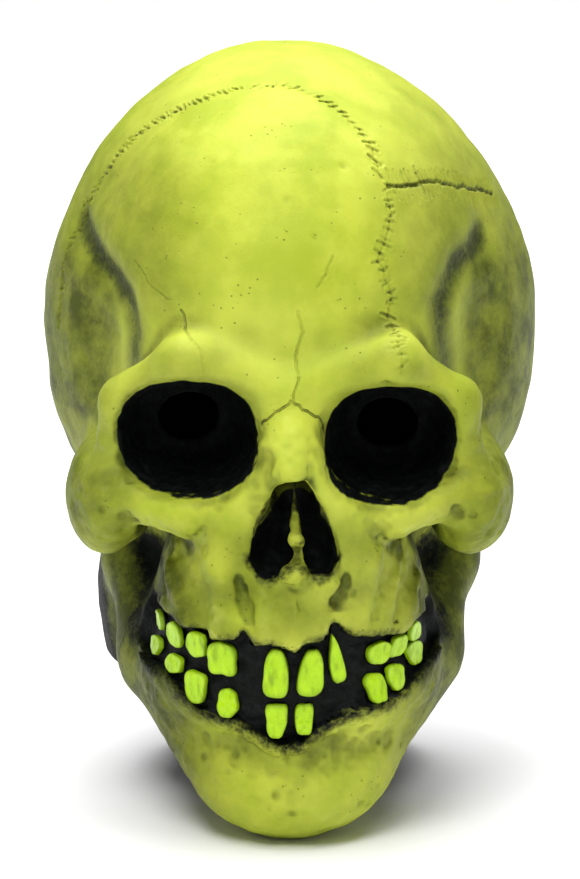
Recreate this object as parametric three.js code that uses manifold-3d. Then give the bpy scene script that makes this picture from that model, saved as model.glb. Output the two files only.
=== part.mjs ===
// Full-head latex skull mask: a thin skin over a skull-shaped field, black orbit and nose cups,
// black gums, nineteen raised teeth, a jaw that flexes and two flaps beside a rear slit.
// Millimetres, +Z up, the face looks along -Y, the origin is on the floor under the middle.
import * as THREE from "three";
import { mergeVertices } from "three/addons/utils/BufferGeometryUtils.js";
import Module from "manifold-3d";

const wasm = await Module();
wasm.setup();

// ---- driving dimensions ----
const SKIN = 3.6;                    // thickness of the latex skin
const GAP = 0.5;                     // clearance between neighbouring solids
const GUM_DEPTH = SKIN + 0.9;        // how far the gum surface lies under the skin surface
const GUM_THICKNESS = 2.6;
const TOOTH_STANDS_PROUD = 1.6;      // tooth face above the skin surface
const CUP_THICKNESS = 2.2;           // wall of the black cups in the orbits and the nose
const SIGHT_HOLE = 0.5;              // sight hole as a share of its orbit
const VIEW_POINT = [0, 4, 138];      // every ray of the skin starts here, inside the head
const COLUMNS = 50;
const ROWS = 34;

const JAW_AXIS = { y: 4, z: 116 };   // the line across the head that the jaw flexes about
const BITE_SLOPE = 0.5;              // the teeth meet on a plane that falls towards the front
const JAW_REAR_FOOT = { y: -4, z: 20 };
const JAW_TRAVEL = 7;                // degrees of clearance left behind the jaw

const NECK_TOP = 92;                 // the black neck starts at this height
const SLIT_TOP = [0, 90, NECK_TOP];  // upper end of the rear slit
const SLIT_WIDTH = 5;                // wide enough for the flaps to fold past each other
const FOLD_FOOT = [57, 55, 32];      // where each flap's fold line reaches the neck opening
const FACE_BACK = -30;               // the face and the cranium meet on this plane

const ORBITS = [
  { name: "orbit_cup_left", x: -38, z: 154, halfWidth: 25, halfHeight: 21.5, tilt: 6 },
  { name: "orbit_cup_right", x: 36.5, z: 151.5, halfWidth: 23, halfHeight: 21.5, tilt: -4 },
];
const NOSE = { x: 0.8, z: 122.5, halfWidth: 15, halfHeight: 17.5 };
const MOUTH = { halfWidth: 59, above: 24, below: 20, cornerRise: 21 };
const NECK_HOLE = { y: 12, halfWidth: 52, halfLength: 64, top: 58 };
const SIDE_ARCH = { y: 22, halfLength: 44, height: 48 };

// centre x and height, then width and height of each tooth, from the wearer's right to left
const UPPER_TEETH = [
  [-49.0, 80.7, 6.0, 6.8], [-43.1, 78.7, 5.6, 9.6], [-34.8, 77.1, 8.2, 9.4], [-25.2, 73.0, 9.4, 11.8],
  [-5.2, 68.8, 10.2, 17.6], [7.8, 69.0, 10.4, 17.0], [17.0, 73.8, 6.0, 17.4],
  [33.1, 74.0, 8.4, 8.0], [40.3, 75.4, 6.0, 8.0], [46.8, 79.4, 6.0, 7.4],
];
const LOWER_TEETH = [
  [-50.4, 70.6, 5.4, 6.8], [-43.3, 67.1, 6.4, 6.8], [-35.0, 60.4, 7.8, 11.6], [-23.0, 55.8, 7.8, 10.3],
  [-4.9, 49.9, 8.2, 13.6], [5.1, 50.6, 6.4, 12.0],
  [32.0, 60.4, 7.0, 10.6], [39.4, 63.2, 6.4, 9.6], [46.6, 70.0, 6.8, 9.0],
];

// ---- the field: negative inside the head, zero on the skin ----
const clamp01 = (t) => Math.min(1, Math.max(0, t));
const mix = (a, b, t) => a + (b - a) * t;

function ellipsoid(p, centre, radii) {
  const q = [0, 1, 2].map((i) => (p[i] - centre[i]) / radii[i]);
  const k0 = Math.hypot(...q);
  const k1 = Math.hypot(q[0] / radii[0], q[1] / radii[1], q[2] / radii[2]);
  return k1 < 1e-9 ? -Math.min(...radii) : (k0 * (k0 - 1)) / k1;
}

function rod(p, a, b, radiusA, radiusB) {
  const along = [0, 1, 2].map((i) => b[i] - a[i]);
  const from = [0, 1, 2].map((i) => p[i] - a[i]);
  const dot = along[0] * from[0] + along[1] * from[1] + along[2] * from[2];
  const t = clamp01(dot / (along[0] ** 2 + along[1] ** 2 + along[2] ** 2));
  const away = [0, 1, 2].map((i) => from[i] - along[i] * t);
  return Math.hypot(...away) - mix(radiusA, radiusB, t);
}

function join(a, b, blend) {
  const h = Math.max(blend - Math.abs(a - b), 0) / blend;
  return Math.min(a, b) - (h * h * blend) / 4;
}

const carve = (a, b, blend) => -join(-a, b, blend);

function cranium(p) {
  let d = ellipsoid(p, [0, 14, 182], [90, 102, 102]);
  d = join(d, ellipsoid(p, [0, 32, 180], [91, 82, 82]), 20);
  d = join(d, ellipsoid(p, [0, -28, 204], [65, 65, 70]), 20);
  return carve(d, ellipsoid(p, [90, -54, 184], [30, 30, 46]), 16);
}

function brow(p) {
  let d = rod(p, [0, -89, 172], [40, -90, 180], 11, 11);
  d = join(d, rod(p, [40, -90, 180], [67, -75, 160], 11, 9), 6);
  d = join(d, rod(p, [67, -75, 160], [67, -70, 132], 9, 11), 6);
  return join(d, rod(p, [0, -94, 168], [0, -109, 143], 9, 6.5), 8);
}

function cheek(p) {
  let d = ellipsoid(p, [66, -46, 128], [17, 36, 22]);
  d = join(d, rod(p, [66, -76, 130], [36, -91, 126], 11, 9), 8);
  d = join(d, rod(p, [36, -91, 126], [15, -97, 138], 9, 8), 8);
  return join(d, rod(p, [13, -97, 146], [25, -93, 106], 8, 12), 8);
}

function upperJaw(p) {
  const body = ellipsoid(p, [0, -56, 98], [50, 54, 44]);
  return join(body, ellipsoid(p, [0, -52, 80], [57, 61, 34]), 12);
}

function lowerJaw(p) {
  let d = ellipsoid(p, [0, -52, 60], [57, 59, 36]);
  d = join(d, ellipsoid(p, [0, -77, 22], [31, 28, 23]), 12);
  d = join(d, rod(p, [21, -76, 26], [50, -32, 59], 17, 17), 12);
  d = join(d, rod(p, [50, -32, 59], [60, -4, 90], 17, 13), 8);
  return join(d, rod(p, [60, -4, 90], [65, 8, 118], 13, 11), 8);
}

function headField(x, y, z) {
  const p = [Math.abs(x), y, z];
  let d = cranium(p);
  d = join(d, brow(p), 9);
  d = join(d, cheek(p), 10);
  d = join(d, upperJaw(p), 12);
  d = join(d, lowerJaw(p), 10);
  return join(d, ellipsoid(p, [0, 24, 62], [68, 66, 115]), 14);
}

// ---- solids from rays, and the joining and cutting of solids ----
function farthestCrossing(direction, depth) {
  const at = (r) => headField(...VIEW_POINT.map((c, i) => c + direction[i] * r)) + depth;
  let outside = 230;
  while (at(outside - 4) > 0) outside -= 4;
  let inside = outside - 4;
  for (let i = 0; i < 12; i++) {
    const middle = (inside + outside) / 2;
    if (at(middle) > 0) outside = middle;
    else inside = middle;
  }
  return (inside + outside) / 2;
}

// a closed surface that lies this deep under the skin surface; columns crowd at the face
function raySurface(depth) {
  const point = (u, v) => {
    const turn = 2 * Math.PI * u - 0.45 * Math.sin(2 * Math.PI * u);
    const height = Math.PI * (v - 0.5);
    const direction = [
      Math.sin(turn) * Math.cos(height),
      -Math.cos(turn) * Math.cos(height),
      Math.sin(height),
    ];
    const r = farthestCrossing(direction, depth);
    return VIEW_POINT.map((c, i) => c + direction[i] * r);
  };
  const position = [...point(0, 0), ...point(0, 1)];
  for (let row = 1; row < ROWS; row++) {
    for (let column = 0; column < COLUMNS; column++) {
      position.push(...point((column + 0.5) / COLUMNS - 0.5, row / ROWS));
    }
  }
  const at = (row, column) => 2 + (row - 1) * COLUMNS + (column % COLUMNS);
  const index = [];
  for (let column = 0; column < COLUMNS; column++) {
    index.push(0, at(1, column + 1), at(1, column));
    index.push(1, at(ROWS - 1, column), at(ROWS - 1, column + 1));
    for (let row = 1; row < ROWS - 1; row++) {
      index.push(at(row, column), at(row, column + 1), at(row + 1, column + 1));
      index.push(at(row, column), at(row + 1, column + 1), at(row + 1, column));
    }
  }
  const geometry = new THREE.BufferGeometry();
  geometry.setAttribute("position", new THREE.Float32BufferAttribute(position, 3));
  geometry.setIndex(index);
  return geometry;
}

function solid(geometry) {
  const bare = geometry.clone();
  bare.deleteAttribute("normal");
  bare.deleteAttribute("uv");
  const merged = mergeVertices(bare, 1e-4);
  const corners = merged.index.array;
  const kept = [];
  for (let i = 0; i < corners.length; i += 3) {
    const [a, b, c] = corners.slice(i, i + 3);
    if (a !== b && b !== c && c !== a) kept.push(a, b, c);
  }
  return new wasm.Manifold(new wasm.Mesh({
    numProp: 3,
    vertProperties: new Float32Array(merged.attributes.position.array),
    triVerts: new Uint32Array(kept),
  }));
}

function toGeometry(manifold) {
  const mesh = manifold.getMesh();
  const geometry = new THREE.BufferGeometry();
  geometry.setAttribute("position", new THREE.Float32BufferAttribute(mesh.vertProperties, 3));
  geometry.setIndex(new THREE.Uint32BufferAttribute(mesh.triVerts, 1));
  geometry.computeVertexNormals();
  return geometry;
}

function box(low, high) {
  const size = high.map((value, i) => value - low[i]);
  const geometry = new THREE.BoxGeometry(...size);
  geometry.translate(...low.map((value, i) => value + size[i] / 2));
  return solid(geometry);
}

// a prism that runs right across the head, from its outline in the (y, z) plane
function acrossHead(outline) {
  const shape = new THREE.Shape(outline.map(([y, z]) => new THREE.Vector2(y, z)));
  const geometry = new THREE.ExtrudeGeometry(shape, { depth: 260, bevelEnabled: false });
  const basis = new THREE.Matrix4().makeBasis(
    new THREE.Vector3(0, 1, 0), new THREE.Vector3(0, 0, 1), new THREE.Vector3(1, 0, 0));
  geometry.applyMatrix4(basis);
  geometry.translate(-130, 0, 0);
  return solid(geometry);
}

// a prism that runs through the face, from its outline in the (x, z) plane
function throughFace(shape, backY) {
  const depth = 95;
  const geometry = new THREE.ExtrudeGeometry(shape, { depth, bevelEnabled: false, curveSegments: 24 });
  geometry.rotateX(Math.PI / 2);
  geometry.translate(0, backY, 0);
  return solid(geometry);
}

function largestPiece(manifold) {
  const pieces = manifold.decompose();
  return pieces.reduce((best, piece) => (piece.volume() > best.volume() ? piece : best));
}

// ---- outlines ----
function orbitOutline(orbit, grow) {
  const shape = new THREE.Shape();
  const squareness = 0.86;
  for (let i = 0; i < 30; i++) {
    const a = (2 * Math.PI * i) / 30;
    const x = (orbit.halfWidth + grow) * Math.sign(Math.cos(a)) * Math.abs(Math.cos(a)) ** squareness;
    const z = (orbit.halfHeight + grow) * Math.sign(Math.sin(a)) * Math.abs(Math.sin(a)) ** squareness;
    const tilt = THREE.MathUtils.degToRad(orbit.tilt);
    const px = orbit.x + x * Math.cos(tilt) - z * Math.sin(tilt);
    const pz = orbit.z + x * Math.sin(tilt) + z * Math.cos(tilt);
    if (i === 0) shape.moveTo(px, pz);
    else shape.lineTo(px, pz);
  }
  return shape;
}

function noseOutline(grow) {
  const { x, z } = NOSE;
  const w = NOSE.halfWidth + grow;
  const h = NOSE.halfHeight + grow;
  const shape = new THREE.Shape();
  shape.moveTo(x, z - h + 4);
  shape.bezierCurveTo(x + w * 0.5, z - h - 3, x + w * 1.15, z - h + 6, x + w, z - h * 0.2);
  shape.bezierCurveTo(x + w * 0.8, z + h * 0.6, x + w * 0.45, z + h, x, z + h);
  shape.bezierCurveTo(x - w * 0.45, z + h, x - w * 0.8, z + h * 0.6, x - w, z - h * 0.2);
  shape.bezierCurveTo(x - w * 1.15, z - h + 6, x - w * 0.5, z - h - 3, x, z - h + 4);
  return shape;
}

// the teeth meet on this height; the mouth window follows it up to the corners
const biteHeight = (y) => JAW_AXIS.z + BITE_SLOPE * (y - JAW_AXIS.y);
const biteRise = (x) => biteHeight(-111) + MOUTH.cornerRise * (x / 54) ** 2;

function mouthOutline(grow) {
  const corner = MOUTH.halfWidth + grow;
  const steps = 16;
  const shape = new THREE.Shape();
  const across = (i) => mix(-corner, corner, i / steps);
  const swell = (x) => Math.sqrt(1 - (x / corner) ** 2 * 0.86);
  shape.moveTo(across(0), biteRise(across(0)) + (MOUTH.above + grow) * swell(across(0)));
  for (let i = 1; i <= steps; i++) {
    shape.lineTo(across(i), biteRise(across(i)) + (MOUTH.above + grow) * swell(across(i)));
  }
  for (let i = steps; i >= 0; i--) {
    shape.lineTo(across(i), biteRise(across(i)) - (MOUTH.below + grow) * swell(across(i)));
  }
  return shape;
}

// ---- shared solids ----
const headOutside = solid(raySurface(0));
const headInside = solid(raySurface(SKIN));
const belowFloor = box([-150, -200, -100], [150, 200, 0]);

function neckOpening() {
  const length = 160;
  const ring = new THREE.CylinderGeometry(1, 1, length, 40);
  ring.rotateX(Math.PI / 2);
  ring.scale(NECK_HOLE.halfWidth, NECK_HOLE.halfLength, 1);
  ring.translate(0, NECK_HOLE.y, NECK_HOLE.top - length / 2);
  const arch = SIDE_ARCH;
  const sideArch = [];
  for (let i = 0; i <= 20; i++) {
    const a = (Math.PI * i) / 20;
    sideArch.push([arch.y + arch.halfLength * Math.cos(a), arch.height * Math.sin(a)]);
  }
  sideArch.push([arch.y - arch.halfLength, -60], [arch.y + arch.halfLength, -60]);
  return solid(ring).add(acrossHead(sideArch));
}

// the jaw is everything under the bite plane and in front of a line down from its axis
function jawRegion(clearance, extraTurn) {
  const reach = 150;
  const bite = Math.atan(BITE_SLOPE);
  const rear = Math.atan2(JAW_REAR_FOOT.z - JAW_AXIS.z, JAW_REAR_FOOT.y - JAW_AXIS.y)
    + THREE.MathUtils.degToRad(extraTurn);
  const apexY = JAW_AXIS.y + clearance;
  const apexZ = JAW_AXIS.z + clearance * (BITE_SLOPE + 1 / Math.cos(bite));
  const front = apexY - reach * Math.cos(bite);
  return acrossHead([[apexY, apexZ], [front, apexZ - reach * Math.sin(bite)], [front, -60],
    [apexY + reach * Math.cos(rear), apexZ + reach * Math.sin(rear)]]);
}

// the back of one side of the head, from this distance off its middle plane
function oneSide(side, fromMiddle) {
  const [near, far] = [side * fromMiddle, side * 150].sort((a, b) => a - b);
  return box([near, -20, -20], [far, 200, 150]);
}

// everything on the slit side of the fold line, on one side of the head
function flapRegion(side, shift) {
  const top = new THREE.Vector3(...SLIT_TOP);
  const foot = new THREE.Vector3(side * FOLD_FOOT[0], FOLD_FOOT[1], FOLD_FOOT[2]);
  const along = foot.clone().sub(top).normalize();
  const outward = new THREE.Vector3(side * 0.62, 0.78, 0);
  const down = new THREE.Vector3().crossVectors(along, outward).multiplyScalar(side).normalize();
  if (down.z > 0) down.negate();
  const across = new THREE.Vector3().crossVectors(along, down).normalize();
  const slab = new THREE.BoxGeometry(400, 200, 300);
  const middle = top.clone().addScaledVector(down, 100 + shift);
  slab.applyMatrix4(new THREE.Matrix4().makeBasis(along, down, across).setPosition(middle));
  return solid(slab).intersect(oneSide(side, shift > 0 ? SLIT_WIDTH / 2 : 0));
}

// ---- the skin and its zones ----
const orbitHoles = ORBITS.map((orbit) => throughFace(orbitOutline(orbit, 0), -60));
const noseHole = throughFace(noseOutline(0), -72);
const mouthWindow = throughFace(mouthOutline(0), -44);
const neckCut = neckOpening();
const skin = [...orbitHoles, noseHole, mouthWindow, neckCut, belowFloor]
  .reduce((left, cutter) => left.subtract(cutter), headOutside.subtract(headInside));
const offJaw = skin.subtract(jawRegion(GAP, JAW_TRAVEL));
const neckZone = box([-150, JAW_AXIS.y, -50], [150, 200, NECK_TOP]);
const neckZoneWithGap = box([-150, JAW_AXIS.y, -50], [150, 200, NECK_TOP + GAP]);
const faceZone = box([-150, -200, -50], [150, FACE_BACK, 320]);
const faceZoneWithGap = box([-150, -200, -50], [150, FACE_BACK + GAP, 320]);

const shapes = {};
shapes.cranium_skin = largestPiece(offJaw.subtract(neckZoneWithGap).subtract(faceZoneWithGap));
shapes.face_skin = largestPiece(offJaw.subtract(neckZoneWithGap).intersect(faceZone));
shapes.jaw_skin = largestPiece(skin.intersect(jawRegion(-GAP, 0)));
const neck = offJaw.intersect(neckZone);
for (const [name, side] of [["right", 1], ["left", -1]]) {
  const half = neck.intersect(oneSide(side, GAP / 2));
  shapes[`neck_side_${name}`] = largestPiece(half.subtract(flapRegion(side, 0)));
  shapes[`rear_flap_${name}`] = largestPiece(neck.intersect(flapRegion(side, GAP)));
}

// ---- black linings behind the openings ----
const behindSkin = solid(raySurface(SKIN + GAP));

// a bowl that narrows from its mouth to a sight hole; its profile is in half widths
function orbitCup(orbit) {
  const wall = CUP_THICKNESS / orbit.halfWidth;
  const inner = [[1.09, -122], [1.07, -80], [0.98, -68], [0.78, -60], [SIGHT_HOLE, -56]];
  const outerSide = [[1.09 + wall, -122], [1.07 + wall, -80], [0.98 + wall, -68]];
  const outer = [...outerSide, [0.86, -57.6], [SIGHT_HOLE, -53.6]];
  const profile = [...outer, ...inner.reverse(), outer[0]];
  const geometry = new THREE.LatheGeometry(profile.map(([r, y]) => new THREE.Vector2(r, y)), 30);
  geometry.scale(orbit.halfWidth, 1, orbit.halfHeight);
  geometry.rotateY(THREE.MathUtils.degToRad(-orbit.tilt));
  geometry.translate(orbit.x, 0, orbit.z);
  return largestPiece(solid(geometry).intersect(behindSkin));
}

function noseCup() {
  const wall = CUP_THICKNESS / NOSE.halfWidth;
  const inner = [[1.2, -122], [1.16, -98], [0.95, -90], [0.0, -88]];
  const outer = [[1.2 + wall, -122], [1.16 + wall, -97], [1.0, -87.4], [0.0, -85.4]];
  const profile = [...outer, ...inner.reverse(), outer[0]];
  const geometry = new THREE.LatheGeometry(profile.map(([r, y]) => new THREE.Vector2(r, y)), 24);
  geometry.scale(NOSE.halfWidth, 1, NOSE.halfHeight);
  geometry.translate(NOSE.x, 0, NOSE.z);
  const clearOfOrbits = ORBITS.map((orbit) => throughFace(orbitOutline(orbit, 5), -50));
  const whole = solid(geometry).intersect(behindSkin);
  return largestPiece(clearOfOrbits.reduce((left, cutter) => left.subtract(cutter), whole));
}

for (const orbit of ORBITS) shapes[orbit.name] = orbitCup(orbit);
shapes.nose_cup = noseCup();
shapes.nasal_septum = box([NOSE.x - 0.2, -107, NOSE.z - 9], [NOSE.x + 2.2, -90.8, NOSE.z + 9]);

const gumBand = solid(raySurface(GUM_DEPTH))
  .subtract(solid(raySurface(GUM_DEPTH + GUM_THICKNESS)))
  .intersect(throughFace(mouthOutline(3), -47));
shapes.upper_gum = largestPiece(gumBand.subtract(jawRegion(GAP, JAW_TRAVEL)));
shapes.lower_gum = largestPiece(gumBand.intersect(jawRegion(-GAP, 0)));

// ---- teeth: rounded plates that stand on the gum and face along its normal ----
function facePoint(x, z) {
  const at = (y) => headField(x, y, z) - TOOTH_STANDS_PROUD;
  let y = -135;
  while (at(y) > 0) y += 0.25;
  return y;
}

function toothOutline(width, height, taper) {
  const corner = Math.min(width, height) * 0.28;
  const top = width / 2;
  const foot = (width / 2) * taper;
  const h = height / 2;
  const shape = new THREE.Shape();
  shape.moveTo(-foot + corner, -h);
  shape.lineTo(foot - corner, -h);
  shape.quadraticCurveTo(foot, -h, foot, -h + corner);
  shape.lineTo(top, h - corner);
  shape.quadraticCurveTo(top, h, top - corner, h);
  shape.lineTo(-top + corner, h);
  shape.quadraticCurveTo(-top, h, -top, h - corner);
  shape.lineTo(-foot, -h + corner);
  shape.quadraticCurveTo(-foot, -h, -foot + corner, -h);
  return shape;
}

function tooth([x, z, width, height], taper) {
  const bevel = 0.8;
  const depth = GUM_DEPTH + TOOTH_STANDS_PROUD - 2 * bevel - 2 * GAP;
  const geometry = new THREE.ExtrudeGeometry(toothOutline(width - 2 * bevel, height - 2 * bevel, taper), {
    depth, bevelThickness: bevel, bevelSize: bevel, bevelSegments: 1, curveSegments: 2,
  });
  geometry.translate(0, 0, -bevel - depth);
  const y = facePoint(x, z);
  const step = 0.5;
  const slopeX = headField(x + step, y, z) - headField(x - step, y, z);
  const slopeY = headField(x, y + step, z) - headField(x, y - step, z);
  const slopeZ = headField(x, y, z + step) - headField(x, y, z - step);
  const outward = new THREE.Vector3(slopeX, slopeY, slopeZ).normalize();
  const sideways = new THREE.Vector3(0, 0, 1).cross(outward).normalize();
  const upward = new THREE.Vector3().crossVectors(outward, sideways);
  geometry.applyMatrix4(new THREE.Matrix4().makeBasis(sideways, upward, outward).setPosition(x, y, z));
  return solid(geometry);
}

UPPER_TEETH.forEach((size, i) => {
  shapes[`upper_tooth_${i + 1}`] = tooth(size, 0.92);
});
LOWER_TEETH.forEach((size, i) => {
  shapes[`lower_tooth_${i + 1}`] = tooth(size, 0.8);
});

// ---- materials and the scene graph ----
const painted = () => new THREE.MeshStandardMaterial({ color: 0xc3d64c, roughness: 0.55, metalness: 0 });
const black = () => new THREE.MeshStandardMaterial({ color: 0x14180f, roughness: 0.6, metalness: 0 });
const enamel = () => new THREE.MeshStandardMaterial({ color: 0xb4e003, roughness: 0.4, metalness: 0 });

function materialFor(name) {
  if (name.includes("tooth")) return enamel();
  if (/^(cranium|face|jaw)_skin$/.test(name) || name === "nasal_septum") return painted();
  return black();
}

const mask = new THREE.Group();
for (const [name, shape] of Object.entries(shapes)) {
  const mesh = new THREE.Mesh(toGeometry(shape), materialFor(name));
  mesh.name = name;
  mask.add(mesh);
}

const bounds = new THREE.Box3().setFromObject(mask);
mask.position.y = -(bounds.min.y + bounds.max.y) / 2;

export default mask;
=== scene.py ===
"""A full-head latex skull mask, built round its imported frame.

The skin is one field of distances: lumps are joined and hollows carved, then fine relief is
pressed in, and the surface is polygonised and shared out between the pieces.
Lengths in the modelling functions are millimetres; the finished meshes are in metres.
"""
import math

import bmesh
import bpy
import numpy as np
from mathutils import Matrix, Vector


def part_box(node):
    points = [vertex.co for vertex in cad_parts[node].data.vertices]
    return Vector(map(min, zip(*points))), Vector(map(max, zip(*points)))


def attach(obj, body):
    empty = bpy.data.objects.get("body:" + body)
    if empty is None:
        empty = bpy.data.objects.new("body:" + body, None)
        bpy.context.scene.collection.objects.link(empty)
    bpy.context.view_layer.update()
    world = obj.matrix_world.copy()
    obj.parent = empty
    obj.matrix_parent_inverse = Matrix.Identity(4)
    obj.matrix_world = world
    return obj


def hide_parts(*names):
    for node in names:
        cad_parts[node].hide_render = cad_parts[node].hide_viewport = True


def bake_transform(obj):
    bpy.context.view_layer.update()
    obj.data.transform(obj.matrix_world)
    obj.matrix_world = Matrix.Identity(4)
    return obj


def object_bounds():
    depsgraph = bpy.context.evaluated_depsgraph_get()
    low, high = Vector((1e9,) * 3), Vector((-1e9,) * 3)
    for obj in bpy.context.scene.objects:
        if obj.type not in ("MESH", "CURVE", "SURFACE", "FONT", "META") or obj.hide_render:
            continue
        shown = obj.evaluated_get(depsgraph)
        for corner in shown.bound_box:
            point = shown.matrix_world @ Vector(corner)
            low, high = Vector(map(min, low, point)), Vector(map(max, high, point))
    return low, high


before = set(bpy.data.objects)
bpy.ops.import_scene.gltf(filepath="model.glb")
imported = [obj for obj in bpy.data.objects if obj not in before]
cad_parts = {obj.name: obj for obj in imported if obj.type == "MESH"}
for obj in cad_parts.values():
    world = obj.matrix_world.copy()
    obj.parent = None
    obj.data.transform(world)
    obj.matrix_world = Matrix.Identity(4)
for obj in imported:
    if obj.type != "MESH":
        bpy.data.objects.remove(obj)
cad_low, cad_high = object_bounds()

MM = 0.001
STEP = 1.5      # lattice spacing of the skin
SKIN = 3.4                                 # latex thickness
MID_SKIN = -0.45 * SKIN                    # field value between the skin's outer and inner sides
FRONT_SHIFT = 1000 * cad_high.y - 119.43   # the frame sits this far along Y from the design's own zero

# ---------------------------------------------------------------- the lattice and its shapes


class Lattice:
    """Distances on a regular lattice over a box, negative inside the solid."""

    def __init__(self, low, high, step):
        self.low = np.array(low, float)
        self.step = step
        counts = np.ceil((np.array(high) - self.low) / step).astype(int) + 1
        axes = [self.low[i] + step * np.arange(counts[i]) for i in range(3)]
        self.x = axes[0][:, None, None].astype(np.float32)
        self.y = axes[1][None, :, None].astype(np.float32)
        self.z = axes[2][None, None, :].astype(np.float32)
        self.values = np.full(counts, 1e3, np.float32)

    def window(self, low, high, margin):
        """The part of the lattice within margin of a box, as slices."""
        first = np.floor((np.array(low) - margin - self.low) / self.step).astype(int)
        last = np.ceil((np.array(high) + margin - self.low) / self.step).astype(int) + 1
        first = np.clip(first, 0, self.values.shape)
        last = np.clip(last, 0, self.values.shape)
        return tuple(slice(a, b) for a, b in zip(first, last))

    def places(self, part):
        return self.x[part[0]], self.y[:, part[1]], self.z[:, :, part[2]]

    def join(self, shape, blend, margin=None):
        """Adds a shape, with a fillet about this wide."""
        part = self.window(shape.low, shape.high, blend + 8 if margin is None else margin)
        self.values[part] = smooth_least(self.values[part], shape(*self.places(part)), blend)

    def carve(self, shape, blend):
        """Takes a shape away, with a rounded edge about this wide."""
        part = self.window(shape.low, shape.high, blend + 10)
        self.values[part] = -smooth_least(-self.values[part], shape(*self.places(part)), blend)

    def press(self, path, width, depth):
        """Presses a soft groove along a path; a negative depth raises a ridge."""
        path = np.array(path, float)
        part = self.window(path.min(0), path.max(0), 2.6 * width)
        x, y, z = self.places(part)
        away = np.full(np.broadcast_shapes(x.shape, y.shape, z.shape), 1e3, np.float32)
        for a, b in zip(path, path[1:]):
            away = np.minimum(away, Rod(a, b, 0, 0)(x, y, z))
        self.values[part] += (depth * np.exp(-(away / width) ** 2)).astype(np.float32)

    def sample(self, points, values=None):
        """Values between lattice points, by straight interpolation."""
        values = self.values if values is None else values
        at = (points - self.low) / self.step
        at = np.clip(at, 0, np.array(values.shape) - 1.001)
        cell = at.astype(int)
        part = at - cell
        total = np.zeros(len(points))
        for dx in (0, 1):
            for dy in (0, 1):
                for dz in (0, 1):
                    share = np.abs(1 - dx - part[:, 0]) * np.abs(1 - dy - part[:, 1])
                    share = share * np.abs(1 - dz - part[:, 2])
                    total += share * values[cell[:, 0] + dx, cell[:, 1] + dy, cell[:, 2] + dz]
        return total


def smooth_least(a, b, blend):
    """The lesser of two distances, rounded where they are close."""
    if blend <= 0:
        return np.minimum(a, b)
    h = np.maximum(blend - np.abs(a - b), 0) / blend
    return np.minimum(a, b) - h * h * (blend / 4)


def smooth_step(x, start, end):
    t = np.clip((x - start) / (end - start), 0, 1)
    return t * t * (3 - 2 * t)


class Ball:
    """An ellipsoid; with both=True it stands on both sides of the face."""

    def __init__(self, centre, radii, both=False):
        self.centre, self.radii, self.both = centre, radii, both
        self.low = np.array(centre, float) - radii
        self.high = np.array(centre, float) + radii
        if both:
            self.low[0] = -self.high[0]

    def __call__(self, x, y, z):
        x = np.abs(x) if self.both else x
        q = [(p - c) / r for p, c, r in zip((x, y, z), self.centre, self.radii)]
        k0 = np.sqrt(q[0] ** 2 + q[1] ** 2 + q[2] ** 2)
        k1 = np.sqrt(sum((v / r) ** 2 for v, r in zip(q, self.radii)))
        return k0 * (k0 - 1) / np.maximum(k1, 1e-6)


class Rod:
    """A tapered rod with round ends."""

    def __init__(self, a, b, radius_a, radius_b, both=False):
        self.a, self.b = np.array(a, float), np.array(b, float)
        self.radii, self.both = (radius_a, radius_b), both
        reach = max(radius_a, radius_b)
        self.low = np.minimum(self.a, self.b) - reach
        self.high = np.maximum(self.a, self.b) + reach
        if both:
            self.low[0] = -self.high[0]

    def __call__(self, x, y, z):
        x = np.abs(x) if self.both else x
        along = self.b - self.a
        from_a = (x - self.a[0], y - self.a[1], z - self.a[2])
        t = sum(f * v for f, v in zip(from_a, along)) / (along @ along)
        t = np.clip(t, 0, 1)
        away = sum((f - v * t) ** 2 for f, v in zip(from_a, along))
        return np.sqrt(away) - (self.radii[0] + (self.radii[1] - self.radii[0]) * t)


def chain(points, radii, both=False):
    """Rods through a row of points."""
    return [Rod(a, b, ra, rb, both) for a, b, ra, rb in zip(points, points[1:], radii, radii[1:])]


class Bowl:
    """A recess that runs in from the front along +Y and narrows to a rounded floor."""

    def __init__(self, centre, half_width, half_height, front, floor, tilt, narrow, power=2.3):
        self.centre, self.half = centre, (half_width, half_height)
        self.front, self.floor, self.tilt = front, floor, math.radians(tilt)
        self.narrow, self.power = narrow, power
        reach = max(self.half) + 4
        self.low = np.array([centre[0] - reach, -130, centre[1] - reach])
        self.high = np.array([centre[0] + reach, floor, centre[1] + reach])

    def across(self, x, y, z):
        """1 on the wall, less inside."""
        dx, dz = x - self.centre[0], z - self.centre[1]
        u = dx * math.cos(self.tilt) + dz * math.sin(self.tilt)
        v = dz * math.cos(self.tilt) - dx * math.sin(self.tilt)
        deep = np.clip((y - self.front) / (self.floor - self.front), 0, 1)
        size = 1 - (1 - self.narrow) * deep ** 1.5
        u = np.abs(u) / (self.half[0] * size)
        v = np.abs(v) / (self.half[1] * size)
        return (u ** self.power + v ** self.power) ** (1 / self.power), size

    def from_rim(self, x, z):
        """How far outside the bowl's mouth a place is, seen from the front."""
        ratio, _ = self.across(x, self.front + 0 * x, z)
        return (ratio - 1) * min(self.half)

    def __call__(self, x, y, z):
        ratio, size = self.across(x, y, z)
        wall = (ratio - 1) * min(self.half) * size
        return -smooth_least(-wall, -(y - self.floor), 10)


class BowlWall:
    """The solid round a bowl, behind a rim that slants back towards the side of the head."""

    def __init__(self, bowl, thickness, front, slant):
        self.bowl, self.thickness, self.front, self.slant = bowl, thickness, front, slant
        self.low, self.high = bowl.low - thickness, bowl.high + thickness

    def __call__(self, x, y, z):
        rim = self.front + self.slant * (np.abs(x) - 12)
        return np.maximum(self.bowl(x, y, z) - self.thickness, rim - y)


# ---------------------------------------------------------------- the skull's forms

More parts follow.
